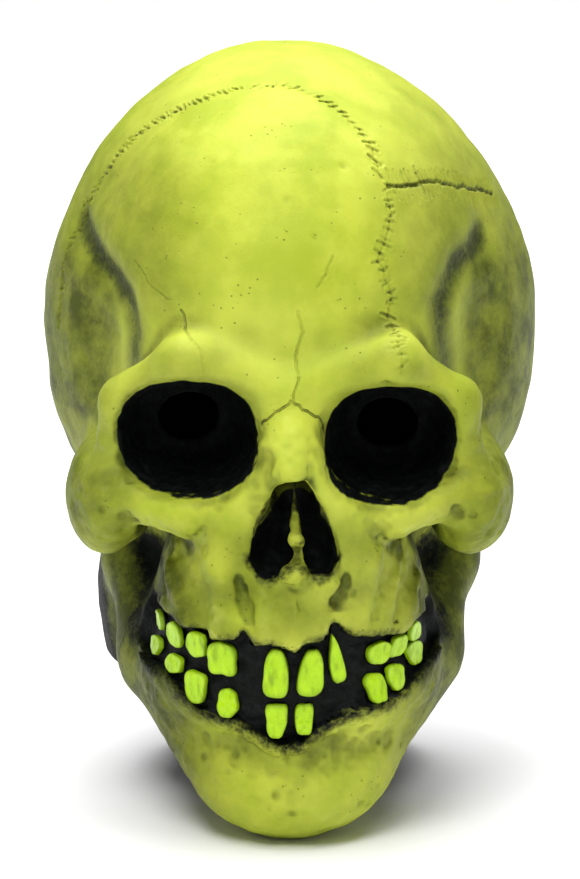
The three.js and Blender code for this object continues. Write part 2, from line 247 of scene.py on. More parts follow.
JAW_AXIS = np.array([0.0, 4.0, 116.0])
BITE_NORMAL = np.array([0.0, 0.447, -0.894])       # square to the bite plane, pointing into the jaw
REAR_NORMAL = np.array([0.0, 0.9965, -0.083])      # square to the rear line of the jaw, pointing back
SLIT_TOP = np.array([0.0, 90.0, 92.0])
FACE_BACK = -30
NECK_TOP = 92

ORBITS = {
    "left": Bowl((-37.8, 154.0), 25.5, 21.5, -88, -55, 6, 0.62),
    "right": Bowl((37.0, 151.8), 23.8, 21.5, -88, -55, -5, 0.62),
}
SIGHT_HOLES = {"left": (-38.0, 155.5), "right": (36.5, 153.0)}

# where the black gum begins and ends, as (x, height) along the teeth
GUM_TOP = [(-58, 88), (-52, 87), (-43, 85), (-38, 83), (-31, 83.5), (-29, 80), (-20, 81.5), (-17, 85.5),
           (-13, 80), (-8, 81), (-2, 79), (1.5, 77), (6, 81), (13, 81.5), (16, 89), (19, 86), (24, 82),
           (36, 81), (43, 79), (47, 82.5), (52, 85), (58, 87)]
GUM_FOOT = [(-58, 70), (-53, 65), (-46, 63.5), (-39, 57.5), (-34, 52.5), (-27, 51), (-20, 50.5), (-13, 46),
            (-8, 42.5), (-2, 40.5), (5, 42), (9, 46.5), (15, 50.5), (21, 54), (27, 54.5), (36, 55.5),
            (43, 58), (49, 64), (58, 72)]

SEPTUM = [(1.8, -98, 124), (2.4, -104, 118.5), (2.8, -102, 113), (2.6, -106, 108)]

# the top and foot of the black nose opening
NOSE_TOP = [(-15, 112), (-13.5, 122), (-9, 131), (-4, 137), (1.5, 140.5), (7, 137), (12, 130),
            (15.5, 121), (17.5, 112)]
NOSE_FOOT = [(-15, 111), (-12, 105), (-7, 103.5), (-2, 106), (2.5, 109), (6.5, 106.5), (11, 103.5),
             (15, 105), (17.5, 111)]

BOTH = (-1, 1)


def mirrored(path, side):
    return [(side * x, y, z) for x, y, z in path]


def cranium(head):
    head.values[...] = Ball((0, 14, 182), (90, 102, 102))(head.x, head.y, head.z)
    head.join(Ball((0, 32, 180), (91, 82, 82)), 20)
    head.join(Ball((0, -28, 204), (65, 65, 70)), 20)
    head.join(Ball((-3, 16, 194), (82, 86, 93)), 8)
    head.join(Ball((0, 14, 152), (83, 60, 60)), 20)
    head.carve(Ball((88, -62, 184), (26, 32, 44), both=True), 9)


def brow(head):
    for rod in chain([(0, -88, 172), (38, -90, 181)], [11, 11], both=True):
        head.join(rod, 10)
    for rod in chain([(38, -90, 181), (61, -76, 164), (64, -70, 134)], [10, 9, 9], both=True):
        head.join(rod, 6)
    head.join(Rod((0, -94, 168), (0, -109, 144), 9, 6), 9)
    head.join(Rod((6, -96, 158), (9, -105, 138), 5, 4, both=True), 6)
    head.press([(-12, -104, 168), (0, -106, 165), (12, -104, 168)], 5, 1.5)


def cheeks(head):
    head.join(Ball((67.5, -46, 125), (17, 37, 23), both=True), 8)
    head.join(Rod((66, -74, 130), (38, -91, 126), 10, 8, both=True), 7)
    head.join(Rod((38, -91, 126), (16, -97, 138), 8, 8, both=True), 7)
    head.join(Rod((13, -98, 146), (23, -95, 108), 7, 10, both=True), 7)
    for side in BOTH:
        head.press(mirrored([(60, -84, 124), (48, -92, 117), (34, -99, 115)], side), 4, 2.2)
        head.press(mirrored([(74, -60, 146), (70, -74, 138), (66, -82, 124)], side), 3, 1.2)


def upper_jaw(head):
    head.join(Ball((0, -56, 98), (47, 53, 44)), 10)
    head.join(Ball((0, -52, 80), (55, 60, 34)), 10)


def lower_jaw(head):
    head.join(Ball((0, -52, 60), (57, 59, 36)), 10)
    head.join(Ball((0, -77, 22), (31, 28, 23)), 12)
    path = [(21, -76, 26), (47.5, -32, 59), (58.5, -4, 90), (62, 8, 118)]
    for rod in chain(path, [17, 16.5, 12.5, 10], both=True):
        head.join(rod, 9)
    head.join(Ball((0, 24, 62), (68, 66, 115)), 14)
    head.join(Ball((-63, 22, 74), (12, 24, 34)), 8)
    for side, size in zip(BOTH, (13, 11)):
        head.carve(Ball((side * 57, -62, 93), (7, 26, size)), 5)


def maxilla_relief(head):
    """Root ridges and the grooves between them, from the wearer's right to left."""
    ridges = [
        ([(-51, -70, 112), (-46, -80, 102), (-41, -90, 90), (-39, -93, 85)], 3.6, 3.0),
        ([(-24, -100, 114), (-25, -105, 98), (-26, -104, 86)], 5.0, 2.6),
        ([(-10, -109, 100), (-9, -110, 85)], 3.4, 1.6),
        ([(2, -112, 100), (2, -112, 90)], 1.8, 1.4),
        ([(12, -108, 100), (11, -110, 86)], 3.4, 1.6),
        ([(29, -97, 112), (30, -101, 98), (28, -103, 87)], 4.6, 1.8),
        ([(45, -82, 110), (39, -93, 97), (34, -98, 86)], 2.6, 2.2),
        ([(51, -68, 104), (47, -82, 92), (44, -86, 85)], 2.6, 2.0),
    ]
    grooves = [
        ([(-36, -95, 108), (-35, -98, 92), (-34, -99, 86)], 3.6, 2.8),
        ([(-20, -98, 124), (-21, -101, 112), (-17, -107, 97), (-15, -109, 88)], 2.4, 2.4),
        ([(-4, -110, 101), (1, -112, 89)], 2.0, 1.8),
        ([(8, -110, 101), (3, -112, 89)], 2.0, 1.6),
        ([(21, -99, 126), (22, -101, 112), (18, -107, 96)], 2.2, 2.4),
        ([(37, -93, 112), (34, -99, 98), (31, -101, 88)], 2.4, 1.8),
        ([(49, -74, 108), (43, -88, 94), (39, -93, 86)], 2.2, 1.8),
    ]
    for path, width, height in ridges:
        head.press(path, width, -height)
    for path, width, depth in grooves:
        head.press(path, width, depth)


def along_gum(border, offset):
    """The border of the gum on the face, moved up or down."""
    path = []
    for x, z in border:
        path.append((x, -108 + 0.0125 * x * x + 0.12 * (80 - z), z + offset))
    return path


def between(x, z, top, foot):
    """How far a place is below one line and above another."""
    x_top, z_top = zip(*top)
    x_foot, z_foot = zip(*foot)
    return np.minimum(np.interp(x, x_top, z_top) - z, z - np.interp(x, x_foot, z_foot))


def in_gum(x, z):
    return np.minimum(between(x, z, GUM_TOP, GUM_FOOT), 57 - np.abs(x))


def in_nose(x, z):
    return np.minimum(between(x, z, NOSE_TOP, NOSE_FOOT), 16.5 - np.abs(x - 1.2))


def mouth(head):
    part = head.window((-60, -122, 34), (60, -46, 96), 0)
    x, y, z = head.places(part)
    recess = smooth_step(in_gum(x, z + 0 * x), -1.2, 1.8)
    head.values[part] += (4.6 * recess * smooth_step(y, -46, -54)).astype(np.float32)
    head.press(along_gum(GUM_TOP, 3.2), 2.4, -1.0)
    head.press(along_gum(GUM_FOOT, -3.0), 2.6, -2.0)
    head.press(along_gum(GUM_FOOT, -8.0), 3.0, 0.9)


def chin(head):
    head.press([(0, -105, 36), (0, -103, 22)], 5, 1.6)
    for side in BOTH:
        head.press(mirrored([(12, -97, 14), (22, -88, 16)], side), 7, -1.6)
        head.press(mirrored([(30, -92, 42), (40, -78, 48)], side), 8, 1.2)


def temples(head):
    left = [(-80, -13, 222), (-69, -39, 211), (-61, -60, 200), (-60, -64, 188), (-64, -60, 172)]
    right = [(72, -34, 219), (62, -57, 212), (57, -68, 200), (59, -66, 186), (63, -60, 172)]
    for path in (left, right):
        head.press(path, 8, 3.4)


def orbit_walls(head):
    for bowl in ORBITS.values():
        head.join(BowlWall(bowl, 4.5, -95, 0.34), 5)


def orbits(head):
    for bowl in ORBITS.values():
        head.carve(bowl, 5)
    head.press([(-40, -97, 177), (-37, -99, 172)], 2, 2.5)
    head.press([(35, -98, 176), (37, -99, 172)], 2, 2.0)


def nose(head):
    head.carve(Ball((1.2, -108, 117), (15, 24, 12)), 3)
    head.carve(Ball((1.8, -108, 129.5), (9, 23, 12)), 3)
    head.carve(Ball((-7.5, -112, 111), (7.5, 22, 7)), 3)
    head.carve(Ball((10.5, -112, 111), (6.5, 22, 7)), 3)
    head.join(Rod((1.4, -93, 140), (1.8, -97, 124), 1.4, 1.5), 2)
    for rod in chain(SEPTUM, [1.6, 2.6, 1.3, 2.4]):
        head.join(rod, 2.5)
    head.join(Ball((1.4, -109, 106), (4.8, 5, 3.4)), 4)
    head.join(Ball((12.5, -107, 102), (5.2, 4.5, 3.4)), 4)
    head.press([(-3, -112, 102), (6, -112, 102)], 2, 1.2)


def build_head():
    """The finished field, and the same before the openings were carved."""
    head = Lattice((-100, -124, -8), (100, 124, 292), STEP)
    for form in (cranium, brow, cheeks, upper_jaw, lower_jaw):
        form(head)
    for form in (temples, orbit_walls, maxilla_relief, chin):
        form(head)
    plain = head.values.copy()
    for form in (orbits, nose, mouth):
        form(head)
    return head, plain


def slot_cut(x, y, z, low, high, radius):
    """An upright round-ended slot seen along Y."""
    return np.sqrt(x ** 2 + (z - np.clip(z, low, high)) ** 2) - radius + 0 * y


def build_shell(head):
    """The skin that is left between the head's surface and an inner one, with its openings cut."""
    shell = Lattice((-100, -124, -8), (100, 124, 292), STEP)
    x, y, z = head.x, head.y, head.z
    shell.values = np.maximum(head.values, -(head.values + SKIN))
    neck = (((x / 52) ** 2 + ((y - 12) / 64) ** 2) ** 0.5 - 1) * 52
    arch = ((((y - 22) / 44) ** 2 + (np.maximum(z, 0) / 48) ** 2) ** 0.5 - 1) * 44
    slit = np.maximum(slot_cut(x, y, z, -20, SLIT_TOP[2] - 2, 2.2), 20 - y)
    cuts = [np.maximum(neck, z - 58), arch + 0 * x, slit]
    for hole_x, hole_z in SIGHT_HOLES.values():
        hole = (((x - hole_x) / 11.5) ** 2 + ((z - hole_z) / 9.5) ** 2) ** 0.5 - 1
        cuts.append(np.maximum(np.maximum(hole * 10, y + 35), -y - 90))
    for cut in cuts:
        shell.values = -smooth_least(-shell.values, cut.astype(np.float32), 1.6)
    shell.values = np.maximum(shell.values, -z)
    return shell


# ---------------------------------------------------------------- turning the field into a mesh

CORNERS = [(i, j, k) for i in (0, 1) for j in (0, 1) for k in (0, 1)]
EDGES = [(a, b) for a in CORNERS for b in CORNERS
         if all(q >= p for p, q in zip(a, b)) and sum(b) - sum(a) == 1]


def polygonise(lattice):
    """Vertices and four-sided faces on the zero surface of a lattice."""
    values = lattice.values
    inside = values < 0
    nx, ny, nz = (n - 1 for n in values.shape)
    count = sum(inside[i:i + nx, j:j + ny, k:k + nz].astype(np.int8) for i, j, k in CORNERS)
    mixed = (count > 0) & (count < 8)
    cells = np.argwhere(mixed)
    index = np.full(mixed.shape, -1, np.int64)
    index[mixed] = np.arange(len(cells))
    total = np.zeros((len(cells), 3))
    crossings = np.zeros(len(cells))
    for a, b in EDGES:
        va = values[tuple((cells + a).T)]
        vb = values[tuple((cells + b).T)]
        crosses = (va < 0) != (vb < 0)
        t = va[crosses] / (va[crosses] - vb[crosses])
        total[crosses] += np.array(a) + t[:, None] * (np.array(b) - np.array(a))
        crossings[crosses] += 1
    vertices = lattice.low + lattice.step * (cells + total / crossings[:, None])
    faces = []
    for axis in range(3):
        u, v = [(1, 2), (2, 0), (0, 1)][axis]
        lower = tuple(slice(0, -1) if i == axis else slice(1, -1) for i in range(3))
        upper = tuple(slice(1, None) if i == axis else slice(1, -1) for i in range(3))
        change = inside[lower] != inside[upper]
        at = np.argwhere(change) + [0 if i == axis else 1 for i in range(3)]
        leaves = inside[tuple(at.T)]
        step_u, step_v = np.eye(3, dtype=int)[u], np.eye(3, dtype=int)[v]
        ring = [at - step_u - step_v, at - step_v, at, at - step_u]
        quad = np.stack([index[tuple(r.T)] for r in ring], axis=1)
        quad[~leaves] = quad[~leaves][:, ::-1]
        faces.append(quad)
    return vertices, np.concatenate(faces)


def gradient(lattice, points, reach=1.0):
    columns = []
    for axis in range(3):
        offset = np.eye(3)[axis] * reach
        columns.append((lattice.sample(points + offset) - lattice.sample(points - offset)) / (2 * reach))
    return np.stack(columns, axis=1)


def unit(vectors):
    return vectors / np.maximum(np.linalg.norm(vectors, axis=-1, keepdims=True), 1e-9)


def settle(lattice, points, rounds, limit):
    """Moves points on to the zero surface along its slope."""
    for _ in range(rounds):
        slope = gradient(lattice, points)
        steep = np.maximum((slope ** 2).sum(1), 0.25)
        move = -(lattice.sample(points) / steep)[:, None] * slope
        points = points + np.clip(move, -limit, limit)
    return points


def value_noise(points, size, seed):
    """Smooth random values from 0 to 1 that change over about this size."""
    grid = np.random.default_rng(seed).random((32, 32, 32))
    cell = np.floor(points / size).astype(int)
    part = points / size - cell
    part = part * part * (3 - 2 * part)
    total = np.zeros(len(points))
    for corner in CORNERS:
        share = np.prod(np.where(corner, part, 1 - part), axis=1)
        total += share * grid[tuple(((cell + corner) % 32).T)]
    return total


# ---------------------------------------------------------------- sutures, cracks and pits

CORONAL_LEFT = [(-87, -15, 182), (-82, -11, 218), (-73, -15, 235), (-53, -22, 259), (-34, -31, 270),
                (-16, -35, 276)]
CORONAL_TOP = [(-16, -35, 276), (-1, -38, 277), (18, -49, 271), (28, -58, 261), (35, -71, 245)]
CORONAL_RIGHT = [(35, -71, 245), (37, -75, 235), (33, -85, 219), (37, -85, 204), (40, -98, 190),
                 (41, -102, 180)]
PARIETAL = [(36, -70, 244), (44, -60, 242), (53, -53, 244), (61, -42, 240), (69, -29, 238), (80, -8, 235)]
SIDE_BRANCH = [(-71, -18, 237), (-78, -18, 232), (-84, -8, 228)]
HAIR_CRACKS = [
    [(3, -95, 201), (5, -95, 194), (2, -98, 186), (3, -101, 178), (1, -103, 170)],
    [(-40, -84, 200), (-37, -95, 192), (-33, -98, 186), (-31, -101, 180)],
    [(16, -91, 221), (13, -92, 215), (10, -93, 210)],
    [(-9, -98, 160), (-3, -103, 167), (1, -104, 170), (7, -100, 164), (13, -92, 156)],
    [(-53, -62, 214), (-47, -70, 206), (-42, -78, 203)],
]


def resample(path, spacing):
    path = np.array(path, float)
    lengths = np.linalg.norm(np.diff(path, axis=0), axis=1)
    along = np.concatenate([[0], np.cumsum(lengths)])
    wanted = np.linspace(0, along[-1], max(2, int(along[-1] / spacing) + 1))
    return np.stack([np.interp(wanted, along, path[:, i]) for i in range(3)], axis=1)


def on_skin(head, path, spacing):
    return settle(head, resample(path, spacing), 8, 2.0)


def stitched(head, path, spacing, reach, lean, rng):
    """A wavering line and the short marks that cross it."""
    line = on_skin(head, path, spacing)
    line = settle(head, line + rng.normal(0, 0.45, line.shape), 3, 1.0)
    normals = unit(gradient(head, line, 2.0))
    strokes = [(line, 0.5, 0.55)]
    for i in range(1, len(line) - 1):
        along = unit(line[i + 1] - line[i - 1])
        across = np.cross(along, normals[i]) + along * rng.normal(lean, 0.35)
        half = reach * rng.uniform(0.45, 1.0)
        shift = along * rng.normal(0, 0.3)
        tick = np.array([line[i] - across * half, line[i] + shift, line[i] + across * half])
        strokes.append((settle(head, tick, 4, 1.0), 0.5, rng.uniform(0.35, 0.8)))
    return strokes


def hatched(head, path, spacing, reach, rng):
    """A deep crack with rows of thin upright strokes above and below it."""
    line = on_skin(head, path, spacing)
    line = settle(head, line + rng.normal(0, 0.4, line.shape), 3, 1.0)
    strokes = [(line, 0.85, 1.5)]
    for place in line[1:]:
        for side in (-1, 1):
            length = reach * rng.uniform(0.5, 1.0)
            tip = place + np.array([rng.normal(0, 0.3), 0, side * length])
            root = place + np.array([0, 0, side * 1.4])
            stroke = on_skin(head, [root, tip], 1.5)
            strokes.append((stroke, 0.42, rng.uniform(0.35, 0.6)))
    return strokes


def all_strokes(head):
    rng = np.random.default_rng(7)
    strokes = stitched(head, CORONAL_LEFT, 2.1, 2.6, 0.9, rng)
    strokes += stitched(head, CORONAL_TOP, 3.6, 2.6, -0.4, rng)
    strokes += stitched(head, CORONAL_RIGHT, 3.0, 3.0, 0.2, rng)
    strokes += stitched(head, SIDE_BRANCH, 2.4, 2.2, 0.4, rng)
    strokes += hatched(head, PARIETAL, 2.0, 8.5, rng)
    for crack in HAIR_CRACKS:
        line = on_skin(head, crack, 1.8)
        line = settle(head, line + rng.normal(0, 0.3, line.shape), 3, 1.0)
        strokes.append((line, 0.4, 0.5))
    return strokes


def stroke_depth(points, strokes):
    """How far the strokes press each point in; their edges stand a little proud."""
    pushed = np.zeros(len(points))
    for path, width, depth in strokes:
        reach = 4 * width
        near = ((points > path.min(0) - reach) & (points < path.max(0) + reach)).all(1)
        near = np.flatnonzero(near)
        if not len(near):
            continue
        away = np.full(len(near), reach)
        for a, b in zip(path, path[1:]):
            along = b - a
            t = np.clip((points[near] - a) @ along / max(along @ along, 1e-9), 0, 1)
            away = np.minimum(away, np.linalg.norm(points[near] - a - t[:, None] * along, axis=1))
        groove = np.exp(-(away / width) ** 2) - 0.35 * np.exp(-((away - 2.1 * width) / width) ** 2)
        pushed[near] = np.maximum(pushed[near], 0) + depth * groove
    return np.clip(pushed, -0.4, 1.5)


def pit_depth(points, head):
    """Scattered pits: a few on the forehead, many on the temples, cheekbones and jaw."""
    rng = np.random.default_rng(21)
    pushed = np.zeros(len(points))
    patches = [
        ((-60, 60), (-110, -20), (185, 275), 34, 0.9),
        ((-92, -55), (-80, 10), (150, 215), 70, 0.9),
        ((55, 92), (-80, 10), (150, 215), 70, 0.9),
        ((-86, -50), (-95, -30), (110, 145), 60, 1.3),
        ((50, 86), (-95, -30), (110, 145), 60, 1.3),
        ((-45, 45), (-112, -70), (5, 45), 36, 1.1),
        ((-50, 50), (-115, -70), (86, 120), 70, 1.1),
        ((-1.5, 1.5), (-110, -90), (12, 36), 6, 0.9),
    ]
    for across, deep, tall, count, radius in patches:
        low = np.array([across[0], deep[0], tall[0]])
        high = np.array([across[1], deep[1], tall[1]])
        centres = settle(head, rng.uniform(low, high, (count, 3)), 14, 6.0)
        for centre in centres:
            size = radius * rng.uniform(0.6, 1.5)
            near = np.flatnonzero((np.abs(points - centre) < 3 * size).all(1))
            away = np.linalg.norm(points[near] - centre, axis=1)
            pushed[near] += rng.uniform(0.3, 0.6) * size * np.exp(-(away / size) ** 2)
    return np.minimum(pushed, 1.1)


# ---------------------------------------------------------------- the whole skin as one mesh

def mesh_from_arrays(name, vertices, corners, starts):
    mesh = bpy.data.meshes.new(name)
    mesh.vertices.add(len(vertices))
    mesh.vertices.foreach_set("co", np.asarray(vertices, np.float32).ravel())
    mesh.loops.add(len(corners))
    mesh.loops.foreach_set("vertex_index", np.asarray(corners, np.int32))
    mesh.polygons.add(len(starts))
    mesh.polygons.foreach_set("loop_start", np.asarray(starts, np.int32))
    mesh.update(calc_edges=True)
    mesh.polygons.foreach_set("use_smooth", np.ones(len(starts), bool))
    return mesh


def refine(mesh, wanted, cuts):
    """Splits the faces whose middles are wanted into smaller ones."""
    form = bmesh.new()
    form.from_mesh(mesh)
    form.faces.ensure_lookup_table()
    edges = {edge for i in np.flatnonzero(wanted) for edge in form.faces[i].edges}
    bmesh.ops.subdivide_edges(form, edges=list(edges), cuts=cuts, use_grid_fill=True)
    form.to_mesh(mesh)
    form.free()


def vectors(items, key):
    """One vector for each vertex or face, as rows."""
    flat = np.empty(len(items) * 3, np.float32)
    items.foreach_get(key, flat)
    return flat.reshape(-1, 3).astype(float)


def middles(mesh):
    return vectors(mesh.polygons, "center")


def places(mesh):
    return vectors(mesh.vertices, "co")


def distance_to_strokes(points, strokes):
    """A quick test for faces near a stroke."""
    near = np.zeros(len(points), bool)
    for path, width, _ in strokes:
        reach = 2.6 * width + STEP
        for a, b in zip(path, path[1:]):
            low, high = np.minimum(a, b) - reach, np.maximum(a, b) + reach
            near |= ((points > low) & (points < high)).all(1)
    return near


def build_skin():
    head, plain = build_head()
    shell = build_shell(head)
    vertices, quads = polygonise(shell)
    vertices = settle(shell, vertices, 2, 0.35 * STEP)
    mesh = mesh_from_arrays("whole_skin", vertices, quads.ravel(), 4 * np.arange(len(quads)))
    strokes = all_strokes(head)
    centre = middles(mesh)
    outside = head.sample(centre) > MID_SKIN
    deep = -head.sample(centre, plain) > 9
    front = outside & ~deep & (centre[:, 1] < -48) & (centre[:, 2] < 178)
    refine(mesh, front, 1)
    centre = middles(mesh)
    outside = head.sample(centre) > MID_SKIN
    refine(mesh, distance_to_strokes(centre, strokes) & outside, 2)

    points = places(mesh)
    outside = head.sample(points) > MID_SKIN
    cut_faces = np.abs(shell.sample(points)) < 0.5
    firm = outside & cut_faces & (points[:, 2] > 4)
    points[firm] = settle(head, points[firm], 2, 0.3)
    normals = unit(gradient(head, points, 1.2))
    pressed = stroke_depth(points, strokes) + pit_depth(points, head)
    lumps = 1.3 * (value_noise(points, 15, 1) - 0.5) + 0.5 * (value_noise(points, 6, 2) - 0.5)
    face = smooth_step(points[:, 1], -45, -80) * smooth_step(points[:, 2], 178, 150)
    lumps += face * 1.1 * (value_noise(points, 4.5, 6) - 0.5)
    lumps += face * 0.7 * (value_noise(points, 2.4, 3) - 0.5)
    rim = np.minimum(points[:, 2] / 6, 1)
    move = np.where(outside, (lumps - pressed) * rim, 0)
    points = points + normals * move[:, None]
    mesh.vertices.foreach_set("co", points.astype(np.float32).ravel())
    mesh.update()
    return head, plain, mesh, pressed, outside


# ---------------------------------------------------------------- paint, painted shade and painted highlight, as values on the vertices

TEMPLE_EDGES = [
    [(-80, -13, 224), (-70, -39, 212), (-61, -60, 200), (-60, -66, 188), (-63, -64, 176)],
    [(72, -34, 220), (62, -57, 212), (57, -68, 200), (59, -68, 186), (63, -62, 174)],
]


def distance_to(paths, x, y, z):
    """How far places are from the nearest of some paths."""
    rods = [Rod(a, b, 0, 0) for path in paths for a, b in zip(path, path[1:])]
    return np.min([rod(x, y, z) for rod in rods], axis=0)


def black_nose(x, y, z, depth, ragged, soft):
    hard = smooth_step(in_nose(x, z) + 1.6 * ragged, -0.9, 0.9) * smooth_step(depth, 0.3, 1.4) * (y < -78)
    mist = 0.6 * smooth_step(in_nose(x, z) + 2.5 * soft, -3, 0.5) * (y < -90)
    from_septum = distance_to([SEPTUM], x, y, z)
    return np.maximum(hard, mist) * smooth_step(from_septum + 1.4 * ragged, 2.4, 3.8)


def black_mouth(x, y, z, ragged, soft):
    """The gums, and the paint sprayed past their borders: a little above, more below."""
    gum = smooth_step(in_gum(x, z) + 1.6 * ragged, -0.6, 0.9) * (y < -46)
    below = 0.72 * smooth_step(in_gum(x, z) + 4 * soft, -13, 0.5) ** 1.6 * (y < -36)
    above = 0.55 * smooth_step(in_gum(x, z) + 3 * soft, -5, 0.5) * (y < -40)
    middle = 0.5 * (np.interp(x, *zip(*GUM_TOP)) + np.interp(x, *zip(*GUM_FOOT)))
    return np.maximum(gum, np.where(z > middle, above, below))


def hollow_black_and_shadow(x, y, z, openness, soft):
    """Black paint and painted shadow in the hollows between the upper jaw and the ramus."""
    hollow = smooth_step(((np.abs(x) - 53) / 11) ** 2 + ((z - 89) / 17) ** 2 + 0.5 * soft, 1.4, 0.1)
    hollow = hollow * smooth_step(y, -94, -66) * smooth_step(y, -5, -22) * smooth_step(openness, 1.06, 0.62)
    return hollow * np.where(x < 0, 1.0, 0.8)


def paint_values(head, plain, points, normals, pressed, outside):
    """How black the paint is at each point, with painted shadow in the jaw hollows and temple creases; how
    far airbrush and painted shade darken it; and how much painted highlight lightens it.
    """
    x, y, z = points.T
    across = np.abs(x)
    depth = -head.sample(points, plain)
    ragged = value_noise(points, 3.0, 4) - 0.5
    soft = value_noise(points, 9.0, 5) - 0.5
    openness = head.sample(points + 5 * normals) / 5
    rim = np.minimum(*[bowl.from_rim(x, z) for bowl in ORBITS.values()])
    from_void = np.minimum(*[bowl(x, y, z) for bowl in ORBITS.values()])
    # painted shadow along the temple creases, used in both the black and the shade
    crease_shadow = np.exp(-(distance_to(TEMPLE_EDGES, x, y, z) / 10) ** 2)

    wander = 22 * (value_noise(points, 26.0, 8) - 0.5) + 8 * soft
    # black paint in the sockets, nose, gums, neck and inside, with painted shadow in the jaw hollows and
    # along the temple creases
    black = [
        smooth_step(np.maximum(rim, from_void - 1.5) + 0.7 * ragged, 1.1, -0.1) * (y < -30),
        black_nose(x, y, z, depth, ragged, soft),
        black_mouth(x, y, z, ragged, soft),
        hollow_black_and_shadow(x, y, z, openness, soft),
        smooth_step(y + wander, -2, 14) * smooth_step(z + wander - 0.1 * y, 156, 136),
        smooth_step(y + 3 * ragged, 8, 16) * smooth_step(z + 0.6 * wander, 116, 100),
        (~outside).astype(float),
        0.42 * crease_shadow ** 2,
    ]

    # airbrush and painted shade: the skull's sides, flanks and temples darken as they turn from the light;
    # under the brows, the brow ridge, maxilla, jaw sides and cheeks are darkened too
    side = smooth_step(across, 48, 84) * smooth_step(z, 262, 205)
    temple = smooth_step(across, 58, 70) * smooth_step(y, -86, -66) * smooth_step(y, 50, 0)
    temple = temple * smooth_step(z, 226, 206) * smooth_step(z, 142, 152)
    flank = smooth_step(across, 20, 57) * smooth_step(z, 186, 206)
    under_brow = smooth_step(rim, 7, 1) * smooth_step(z, 152, 172) * (y < -60)
    ridge = smooth_step(np.abs(z - 178), 20, 6) * smooth_step(across, 10, 28) * smooth_step(y, -50, -74)
    maxilla = smooth_step(y, -50, -80) * smooth_step(z, 132, 118) * smooth_step(z, 76, 84)
    jaw_side = smooth_step(np.abs(x - 5), 20, 54) * smooth_step(z, 112, 100)
    cheek = smooth_step(across, 46, 62) * smooth_step(y, -100, -80)
    cheek = cheek * smooth_step(z, 146, 138) * smooth_step(z, 98, 104)
    # the shade: painted shade in closed hollows, darker in the pressed grooves and pits, and the masks
    # above
    shade = [
        0.9 * smooth_step(openness, 0.98, 0.45),
        0.62 * smooth_step(pressed, 0.15, 1.3),
        crease_shadow,
        0.85 * side * (0.85 + 0.25 * soft),
        temple * (0.8 + 0.25 * soft),
        flank * (0.24 + 0.28 * smooth_step(z, 262, 238)),
        0.5 * under_brow,
        ridge * (0.27 + 0.3 * soft),
        maxilla * (0.34 + 0.5 * soft),
        jaw_side * (0.92 + 0.25 * soft),
        cheek * (0.62 + 0.4 * soft),
    ]
    # painted highlight: lighter where the surface stands open and raised
    light = smooth_step(openness, 1.03, 1.5)
    return np.clip(np.max(black, axis=0), 0, 1), np.clip(np.max(shade, axis=0), 0, 1), light


# ---------------------------------------------------------------- sharing the skin between the pieces

def along(points, start, direction):
    return (points - start) @ direction


def flap_down(side):
    return np.array([-0.525 * side, 0.417, -0.742])


def zone_names(head, plain, points):
    """Which piece each face belongs to, by its middle; later rules win over earlier ones."""
    x, y, z = points.T
    depth = -head.sample(points, plain)
    names = np.full(len(points), "cranium", dtype="<U16")
    names[y > 25] = "cranium_back"
    names[y < FACE_BACK] = "face_upper"
    names[(y < FACE_BACK) & (z < 148)] = "face_lower"
    neck = (y > JAW_AXIS[1]) & (z < NECK_TOP)
    for side, word in ((-1, "left"), (1, "right")):
        on_side = neck & (x * side > 0)
        names[on_side] = f"neck_{word}"
        fold = on_side & (along(points, SLIT_TOP, flap_down(side)) > 0)
        names[fold] = f"flap_{word}"
    below = along(points, JAW_AXIS, BITE_NORMAL) > 0
    behind = along(points, JAW_AXIS, REAR_NORMAL)
    names[below & (behind < 0)] = "jaw"
    strip = below & (behind > 0) & (behind < 14) & (z < 114)
    names[strip] = "throat"
    gum = (in_gum(x, z) > 0) & (y < -46)
    names[gum & ~below] = "upper_gum"
    names[gum & below & (behind < 0)] = "lower_gum"
    names[(np.abs(x - 1) < 19) & (y < -70) & (z > 100) & (z < 148) & (depth > 4.5)] = "nose_cup"
    for word, bowl in ORBITS.items():
        names[(bowl.from_rim(x, z) < 6) & (depth > 5.4) & (y < -40)] = f"orbit_cup_{word}"
    return names


def cut_out(mesh, chosen, name):
    """A new object with only the chosen faces of the skin, still shaded as part of the whole."""
    count = len(mesh.polygons)
    starts = np.empty(count, np.int32)
    totals = np.empty(count, np.int32)
    corners = np.empty(len(mesh.loops), np.int32)
    mesh.polygons.foreach_get("loop_start", starts)
    mesh.polygons.foreach_get("loop_total", totals)
    mesh.loops.foreach_get("vertex_index", corners)
    kept = corners[np.repeat(chosen, totals)]
    used, kept = np.unique(kept, return_inverse=True)
    new_starts = np.concatenate([[0], np.cumsum(totals[chosen])[:-1]])
    points = (places(mesh)[used] + SHIFT) * MM
    part = mesh_from_arrays(name, points, kept, new_starts)
    piece = bpy.data.objects.new(name, part)
    bpy.context.scene.collection.objects.link(piece)
    return piece, used


# ---------------------------------------------------------------- materials

def node(tree, kind, **settings):
    """A shader node with its sockets set by name, or linked when the value is a socket."""
    made = tree.nodes.new(kind)
    for key, value in settings.items():
        if hasattr(made, key):
            setattr(made, key, value)
            continue
        socket = made.inputs[key.replace("_", " ")]
        if isinstance(value, bpy.types.NodeSocket):
            tree.links.new(value, socket)
        else:
            socket.default_value = value
    return made


def new_material(name):
    material = bpy.data.materials.new(name)
    material.use_nodes = True
    tree = material.node_tree
    return material, tree, tree.nodes["Principled BSDF"]


def noise(tree, scale, detail=4.0, roughness=0.6):
    place = node(tree, "ShaderNodeTexCoord").outputs["Object"]
    made = node(tree, "ShaderNodeTexNoise", Vector=place, Scale=scale, Detail=detail, Roughness=roughness)
    return made.outputs["Fac"]


